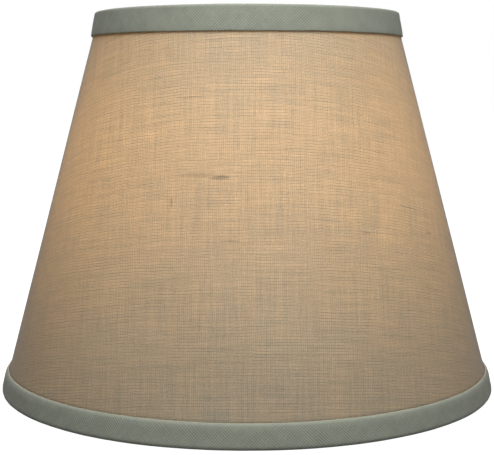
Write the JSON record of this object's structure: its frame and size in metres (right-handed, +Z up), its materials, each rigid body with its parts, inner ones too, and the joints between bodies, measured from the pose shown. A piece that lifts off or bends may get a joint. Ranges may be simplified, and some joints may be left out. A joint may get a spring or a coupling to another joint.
{
  "type": "lamp shade",
  "caption": "Tapered fabric lamp shade with folded tape trims, wire rings and a recessed washer fitter for a harp.",
  "frame": {"origin": "centre of the bottom rim, on the surface that the shade stands on", "axes": "+Z up along the shade's axis, -Y is the front, +Y is the seam at the back"},
  "size_m": [0.405, 0.4072, 0.3048],
  "materials": {
    "linen": "slubbed plain-weave linen, matt, glows warm when lit",
    "styrene": "translucent satin styrene sheet",
    "adhesive": "clear-drying adhesive tape",
    "painted_wire": "white powder-coated steel wire",
    "grey_tape": "grey-green twill bias tape, folded double, matt"
  },
  "bodies": {
    "root": {"fabric_cover": "linen", "liner_panel": "styrene", "seam_tape": "adhesive", "top_ring": "painted_wire", "bottom_ring": "painted_wire", "spider_arm_1": "painted_wire", "spider_arm_2": "painted_wire", "spider_arm_3": "painted_wire", "spider_washer": "painted_wire", "top_trim_tape": "grey_tape", "bottom_trim_tape": "grey_tape"}
  },
  "joints": []
}
